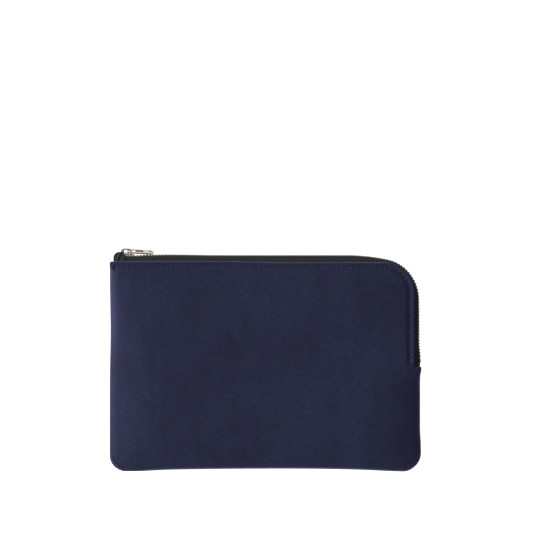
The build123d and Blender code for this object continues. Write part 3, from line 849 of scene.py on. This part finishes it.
def slider_body():
    """Body swept along its length: wings, flanges and the wedge, with rounded outer corners."""
    half_length, half_width, wing, corner_radius = 4.3, 3.4, 1.95, 0.65
    round_corner = []
    for a in np.linspace(0, 90, 6):
        t = math.radians(a)
        z = half_width - corner_radius + corner_radius * math.cos(t)
        round_corner.append((z, wing - corner_radius + corner_radius * math.sin(t)))
    upper = round_corner + [(-z, n) for z, n in reversed(round_corner)]
    upper += [(-half_width, 0.45), (-2.55, 0.45), (-2.55, 1.1)]
    upper += [(2.55, 1.1), (2.55, 0.45), (half_width, 0.45)]
    lower = [(z, -n) for z, n in upper]
    # places along the body and how wide it is there
    stations = [(-half_length, 0.70), (-half_length + 0.12, 0.76), (-half_length + 0.5, 0.84)]
    stations += [(-half_length + 1.7, 1.0), (half_length + 0.4, 0.97), (half_length + 0.78, 0.945)]
    stations += [(half_length + 0.9, 0.90)]
    vertices, faces = [], []
    for loop in (upper, lower):
        m = len(loop)
        start = len(vertices)
        for x, scale in stations:
            at_end = abs(x) > half_length - 0.2
            for z, n in loop:
                drop = 0.10 if at_end and abs(n) > 1.3 else 0
                y = BODY_Y + n - math.copysign(drop, n)
                vertices.append((SLIDER_X + x, y, SEAM_Z + z * scale))
        for k in range(len(stations) - 1):
            band(faces, start + k * m, start + (k + 1) * m, m)
        cap(faces, start, m)
        cap(faces, start + (len(stations) - 1) * m, m)
    wedge = [(-4.1, -0.6), (-3.0, -0.75), (-1.7, 0), (-3.0, 0.75), (-4.1, 0.6)]
    start, m = len(vertices), len(wedge)
    for n in (-1.2, 1.2):
        vertices += [(SLIDER_X + x, BODY_Y + n, SEAM_Z + z) for x, z in wedge]
    band(faces, start, start + m, m)
    cap(faces, start, m)
    cap(faces, start + m, m)
    piece = add_object("slider_body_metal", vertices, faces)
    fix_normals(piece)
    piece.data.set_sharp_from_angle(angle=math.radians(35))
    bevel = piece.modifiers.new("soft_edges", "BEVEL")
    bevel.width = 0.12 * MM
    bevel.segments = 2
    bevel.limit_method = "ANGLE"
    bevel.angle_limit = math.radians(40)
    return piece


# --- materials --------------------------------------------------------------------------------
class Nodes:
    """Short names for building a node material."""

    def __init__(self, name):
        self.material = bpy.data.materials.new(name)
        self.material.use_nodes = True
        self.tree = self.material.node_tree
        self.shader = self.tree.nodes["Principled BSDF"]

    def new(self, kind, **values):
        node = self.tree.nodes.new("ShaderNode" + kind)
        for key, value in values.items():
            if key in node.inputs:
                node.inputs[key].default_value = value
            else:
                setattr(node, key, value)
        return node

    def link(self, a, b):
        self.tree.links.new(a, b)

    def coordinates(self, scale=(1, 1, 1)):
        """Object coordinates in millimetres, stretched."""
        source = self.new("TexCoord")
        mapping = self.new("Mapping", Scale=[1000 * s for s in scale])
        self.link(source.outputs["Object"], mapping.inputs["Vector"])
        return mapping.outputs["Vector"]

    def noise(self, vector, scale, detail=2.0, roughness=0.5):
        node = self.new("TexNoise", Scale=scale, Detail=detail, Roughness=roughness)
        self.link(vector, node.inputs["Vector"])
        return node.outputs["Fac"]

    def math(self, operation, a, b=None):
        node = self.new("Math", operation=operation)
        for socket, value in zip(node.inputs, (a, b)):
            if isinstance(value, (int, float)):
                socket.default_value = value
            elif value is not None:
                self.link(value, socket)
        return node.outputs[0]

    def mix(self, first, *others):
        """Weighted sum of (value, weight) pairs."""
        total = self.math("MULTIPLY", *first)
        for pair in others:
            total = self.math("ADD", total, self.math("MULTIPLY", *pair))
        return total

    def remap(self, value, low, high, to_low, to_high):
        node = self.new("MapRange")
        ends = {"From Min": low, "From Max": high, "To Min": to_low, "To Max": to_high}
        for key, number in ends.items():
            node.inputs[key].default_value = number
        self.link(value, node.inputs["Value"])
        return node.outputs["Result"]

    def ramp(self, value, stops):
        node = self.new("ValToRGB")
        elements = node.color_ramp.elements
        while len(elements) < len(stops):
            elements.new(0.5)
        for element, (position, color) in zip(elements, stops):
            element.position = position
            element.color = (*color, 1)
        self.link(value, node.inputs["Fac"])
        return node.outputs["Color"]

    def bump(self, height, strength, distance, normal=None):
        node = self.new("Bump", Strength=strength, Distance=distance * MM)
        self.link(height, node.inputs["Height"])
        if normal is not None:
            self.link(normal, node.inputs["Normal"])
        return node.outputs["Normal"]

    def attribute(self, name):
        return self.new("Attribute", attribute_name=name).outputs["Fac"]

    def finish(self, color, normal=None, roughness=None, **values):
        """Connects and sets the shader's inputs, and returns the material."""
        inputs = self.shader.inputs
        for key, value in (("Base Color", color), ("Normal", normal), ("Roughness", roughness)):
            if value is not None:
                self.link(value, inputs[key])
        for key, value in values.items():
            inputs[key.replace("_", " ")].default_value = value
        return self.material


def srgb(r, g, b):
    """Linear colour from 0-255 display values."""
    out = []
    for c in (r, g, b):
        c /= 255
        out.append(c / 12.92 if c <= 0.04045 else ((c + 0.055) / 1.055) ** 2.4)
    return tuple(out)


def suede_material():
    n = Nodes("navy_suede")
    flat = n.coordinates()
    streaky = n.coordinates((1.0, 0.32, 1.0))
    cloud = n.noise(flat, 0.022, 2.5, 0.55)
    streak = n.noise(streaky, 0.12, 2.0, 0.5)
    mottle = n.noise(flat, 0.42, 3.0, 0.65)
    fibre = n.noise(flat, 1.25, 3.0, 0.75)
    nap = n.noise(flat, 4.5, 2.0, 0.7)
    hairs = n.math("SUBTRACT", nap, 0.5)
    mix = n.mix((cloud, 0.22), (streak, 0.10), (mottle, 0.26), (fibre, 0.42), (hairs, 0.12))
    shades = [(0.38, srgb(33, 34, 56)), (0.50, srgb(41, 43, 69)), (0.62, srgb(50, 53, 83))]
    grain = n.bump(fibre, 0.7, 0.14, n.bump(nap, 0.5, 0.06))
    return n.finish(
        n.ramp(mix, shades),
        n.bump(mottle, 0.25, 0.25, grain),
        n.remap(mottle, 0.3, 0.7, 0.86, 0.97),
        Specular_IOR_Level=0.18,
        Sheen_Weight=0.75,
        Sheen_Roughness=0.38,
        Sheen_Tint=(*srgb(150, 160, 215), 1),
    )


def tape_material():
    n = Nodes("black_zip_tape")
    along, across = n.attribute("along"), n.attribute("across")
    # herringbone: diagonals that turn back at every rib
    rib = n.math("PINGPONG", across, 0.9)
    diagonal = n.math("ADD", along, n.math("MULTIPLY", rib, 0.9))
    twill = n.math("SINE", n.math("MULTIPLY", diagonal, 2 * math.pi / 0.55))
    warp = n.math("SINE", n.math("MULTIPLY", across, 2 * math.pi / 0.45))
    fuzz = n.noise(n.coordinates(), 2.6, 3.0, 0.6)
    weave = n.math("ADD", n.mix((twill, 0.30), (warp, 0.35)), fuzz)
    shade = n.remap(weave, -0.1, 1.1, 0, 1)
    color = n.ramp(shade, [(0.0, srgb(32, 32, 35)), (1.0, srgb(53, 53, 57))])
    sheen = {"Sheen_Weight": 0.15, "Sheen_Roughness": 0.5}
    return n.finish(color, n.bump(weave, 0.5, 0.12), Roughness=0.78, Specular_IOR_Level=0.3, **sheen)


def metal_material(name, light, dark, roughness):
    n = Nodes(name)
    brushed = n.noise(n.coordinates((0.25, 1.0, 1.0)), 3.0, 2.0, 0.5)
    patch = n.noise(n.coordinates(), 0.55, 2.0, 0.5)
    color = n.ramp(n.mix((brushed, 0.4), (patch, 0.6)), [(0.35, dark), (0.62, light)])
    rough = n.remap(brushed, 0.3, 0.7, roughness - 0.05, roughness + 0.09)
    return n.finish(color, n.bump(brushed, 0.12, 0.02), rough, Metallic=1.0)


def thread_material():
    n = Nodes("navy_thread")
    fibre = n.noise(n.coordinates(), 6.0, 2.0, 0.6)
    color = n.ramp(fibre, [(0.3, srgb(40, 43, 74)), (0.7, srgb(56, 60, 98))])
    sheen = {"Sheen_Weight": 0.2, "Sheen_Roughness": 0.5}
    return n.finish(color, n.bump(fibre, 0.3, 0.04), Roughness=0.6, Specular_IOR_Level=0.35, **sheen)


def lining_material():
    n = Nodes("navy_lining")
    place = n.new("SeparateXYZ")
    n.link(n.coordinates(), place.inputs[0])
    warp = n.math("SINE", n.math("MULTIPLY", place.outputs[0], 2 * math.pi / 0.42))
    weft = n.math("SINE", n.math("MULTIPLY", place.outputs[1], 2 * math.pi / 0.42))
    weave = n.math("MULTIPLY", warp, weft)
    cloud = n.noise(n.coordinates(), 0.12, 2.0, 0.5)
    mix = n.math("ADD", n.math("MULTIPLY", weave, 0.12), cloud)
    color = n.ramp(mix, [(0.3, srgb(40, 42, 62)), (0.7, srgb(54, 57, 82))])
    normal = n.bump(weave, 0.35, 0.05)
    return n.finish(color, normal, Roughness=0.62, Specular_IOR_Level=0.35, Sheen_Weight=0.15)


def floor_material():
    n = Nodes("white_table")
    soft = n.noise(n.coordinates(), 0.01, 2.0, 0.5)
    color = n.ramp(soft, [(0.0, (0.9, 0.9, 0.9)), (1.0, (0.93, 0.93, 0.93))])
    glow = {"Emission_Color": (1, 1, 1, 1), "Emission_Strength": 0.95}
    return n.finish(color, Roughness=0.95, Specular_IOR_Level=0.1, **glow)


def paint(piece, material):
    """Gives the whole piece one material."""
    piece.data.materials.clear()
    piece.data.materials.append(material)


# --- camera and light -------------------------------------------------------------------------
def studio():
    """Camera straight above, even light from the world and one soft light low on the left."""
    scene = bpy.context.scene
    scene.view_settings.view_transform = "Standard"
    scene.view_settings.look = "None"
    camera_data = bpy.data.cameras.new("camera")
    camera_data.lens = LENS
    camera_data.sensor_width = SENSOR_WIDTH
    camera = bpy.data.objects.new("camera", camera_data)
    scene.collection.objects.link(camera)
    distance = VIEW_WIDTH * LENS / SENSOR_WIDTH
    camera.location = Vector((*VIEW_CENTRE, SEAM_Z + distance)) * MM
    camera_data.clip_start, camera_data.clip_end = 0.05, 20
    scene.camera = camera

    world = bpy.data.worlds.new("studio")
    world.use_nodes = True
    background = world.node_tree.nodes["Background"]
    background.inputs["Color"].default_value = (1, 1, 1, 1)
    background.inputs["Strength"].default_value = WORLD_STRENGTH
    scene.world = world

    light = bpy.data.lights.new("key_left", "AREA")
    light.shape = "RECTANGLE"
    light.size, light.size_y = KEY_SIZE
    light.energy = KEY_POWER
    lamp = bpy.data.objects.new("key_left", light)
    lamp.location = KEY_PLACE
    lamp.rotation_euler = (-lamp.location).to_track_quat("-Z", "Y").to_euler()
    scene.collection.objects.link(lamp)

    half = TABLE_HALF
    square = [(-half, -half, 0), (half, -half, 0), (half, half, 0), (-half, half, 0)]
    floor = add_object("table", square, [(0, 1, 2, 3)])
    paint(floor, floor_material())


def declare_sheet(points, allowance):
    """Works out the area of one flat-cut sheet: its outline plus what is turned in; the area is not
    kept or passed on.
    """
    x, y = points[:, 0], points[:, 1]
    area = abs(np.dot(x, np.roll(y, -1)) - np.dot(y, np.roll(x, -1))) / 2
    area += allowance * np.hypot(np.diff(x), np.diff(y)).sum()


def sew_in(piece, side, material, nodes):
    """Paints a layer and hides the CAD nodes it replaces: the front is left in place with its
    transform baked in, the back is attached to the pouch's body.
    """
    paint(piece, material)
    if side == FRONT:
        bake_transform(piece)
    else:
        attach(piece, "pouch")
    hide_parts(*nodes)


def build():
    """Every piece of the pouch, with its material, its body and the CAD nodes it replaces."""
    suede, thread = suede_material(), thread_material()
    tape_cloth, lining_cloth = tape_material(), lining_material()
    tooth_metal = metal_material("pale_gold_teeth", (0.34, 0.28, 0.16), (0.20, 0.165, 0.095), 0.30)
    # the tab, bail and body are one pale gold metal: the tab's copy is painted darker against the
    # bright floor it reflects, and the bail's and body's copy is painted lighter for the dim world
    # their flat faces reflect
    gold_painted_darker = metal_material("pale_gold_painted_darker", (0.47, 0.43, 0.37), (0.27, 0.24, 0.20), 0.25)
    gold_painted_lighter = metal_material("pale_gold_painted_lighter", (0.78, 0.72, 0.62), (0.48, 0.43, 0.36), 0.25)

    panels = ("front_panel_lower", "front_panel_flap")
    interlinings = ("front_interlining_lower", "front_interlining_flap")
    front = suede_face("front_panel_suede", FRONT, 1, FRONT_PEAK)
    sew_in(front, FRONT, suede, panels + interlinings)
    declare_sheet(outline(0, 0), ALLOWANCE)
    back = suede_face("back_panel_suede", BACK, 5, BACK_PEAK)
    sew_in(back, BACK, suede, ("back_panel", "back_interlining"))
    declare_sheet(outline(0, 0), ALLOWANCE)

    for name, side, nodes in (
        ("front", FRONT, ("front_lining_lower", "front_lining_flap")),
        ("back", BACK, ("back_lining",)),
    ):
        cloth = lining(name + "_lining_cloth", side, 2 + side)
        sew_in(cloth, side, lining_cloth, nodes)
        declare_sheet(lining_outline(0), 0)

    for name, side, nodes in (
        ("front", FRONT, ("front_tape_ends", "front_tape_flap")),
        ("back", BACK, ("back_tape",)),
    ):
        sew_in(tape(name + "_tape_woven", side), side, tape_cloth, nodes)
        end = tape_end(name + "_tape_folded_end", side)
        paint(end, tape_cloth)
        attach(end, "pouch")

    for name, side, nodes in (
        ("front", FRONT, ("front_teeth_ends", "front_teeth_flap")),
        ("back", BACK, ("back_teeth",)),
    ):
        sew_in(teeth(name + "_teeth_row", side), side, tooth_metal, nodes)

    for name, side, peak, nodes in (
        ("front", FRONT, FRONT_PEAK, ("front_topstitch_ends", "front_topstitch_flap")),
        ("back", BACK, BACK_PEAK, ("back_topstitch",)),
    ):
        row = stitches(name + "_topstitching", side, 3 + side, peak)
        sew_in(row, side, thread, nodes)

    tab, slot_shade_plate = pull_tab()
    # painted shade: the plate in the tab's slot is near-black metal standing in for the shade seen
    # through the slot
    slot_painted_shade_metal = metal_material("shaded_gold_slot", (0.10, 0.085, 0.06), (0.05, 0.045, 0.035), 0.45)
    for metal, finish, body, nodes in (
        (tab, gold_painted_darker, "pull", ("pull_tab",)),
        (slot_shade_plate, slot_painted_shade_metal, "pull", ()),
        (slider_bail(), gold_painted_lighter, "slider", ("slider_bail",)),
        (slider_body(), gold_painted_lighter, "slider", ("slider_body",)),
    ):
        paint(metal, finish)
        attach(metal, body)
        if nodes:
            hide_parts(*nodes)

    for node in ("top_stop_front", "top_stop_back", "bottom_stop"):
        paint(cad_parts[node], tooth_metal)
    paint(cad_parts["seam_thread"], thread)


studio()
build()
